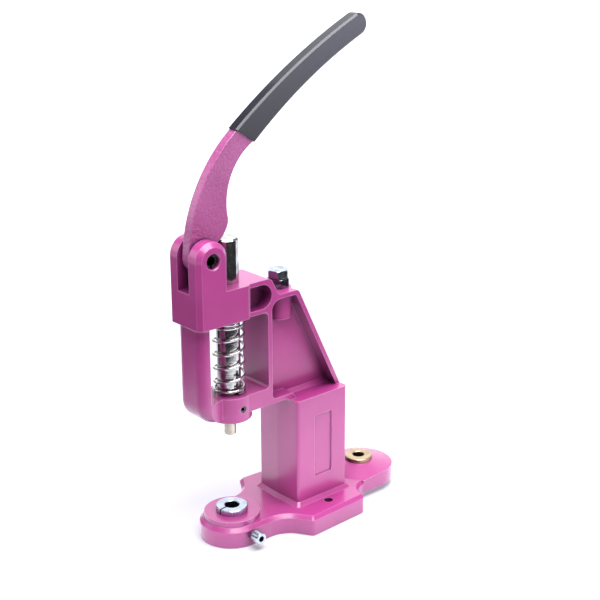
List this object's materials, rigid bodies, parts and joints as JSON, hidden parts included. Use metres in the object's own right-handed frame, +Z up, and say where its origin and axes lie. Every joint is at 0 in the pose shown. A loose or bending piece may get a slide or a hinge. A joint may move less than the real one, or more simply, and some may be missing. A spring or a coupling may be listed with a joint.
{
  "type": "eyelet press",
  "caption": "Bench hand press with an upright lever that drives a spring-returned ram down over a split die bush in a flat base.",
  "frame": {"origin": "on the floor, on the common axis of the front die bush and of the ram", "axes": "+Z up along the ram; -Y towards the open front of the press; X across its width, +X on the side with the sunk panel"},
  "size_m": [0.0822, 0.1805, 0.347],
  "materials": {
    "painted_casting": "satin",
    "grip_sleeve": "gloss",
    "dark_steel": "satin",
    "chromed_steel": "polished",
    "nickel": "satin",
    "zinc_steel": "satin"
  },
  "bodies": {
    "press_frame": {"frame": "painted_casting", "die_bush": "zinc_steel", "die_clamp_screw": "zinc_steel", "rear_bush": "nickel", "guide_set_screw": "dark_steel", "stop_lock_nut": "zinc_steel", "pivot_pin": "dark_steel", "return_spring": "chromed_steel"},
    "lever_arm": {"lever": "painted_casting", "lever_grip": "grip_sleeve"},
    "ram_set": {"ram": "chromed_steel", "die_spigot": "nickel", "retaining_ring": "dark_steel", "spring_washer": "zinc_steel"},
    "stop_bolt_body": {"stop_bolt": "zinc_steel"}
  },
  "joints": [
    {"name": "lever_swing", "type": "hinge", "parent": "press_frame", "child": "lever_arm", "pos_m": [0, -0.0225, 0.2055], "axis": [-1, 0, 0], "range_deg": [0, 70], "stiffness_Nm_per_rad": 0.4, "springref_deg": -57.87},
    {"name": "ram_slide", "type": "slide", "parent": "press_frame", "child": "ram_set", "axis": [0, 0, -1], "range_m": [0, 0.0231], "stiffness_N_per_m": 1270, "springref_m": -0.019, "deforming": ["return_spring"]},
    {"name": "stop_bolt_adjust", "type": "slide", "parent": "press_frame", "child": "stop_bolt_body", "axis": [0, 0, 1], "range_m": [0, 0.004]}
  ],
  "couplings": [
    {"joint": "ram_slide", "follows": "lever_swing", "m_per_rad": 0.0188}
  ]
}
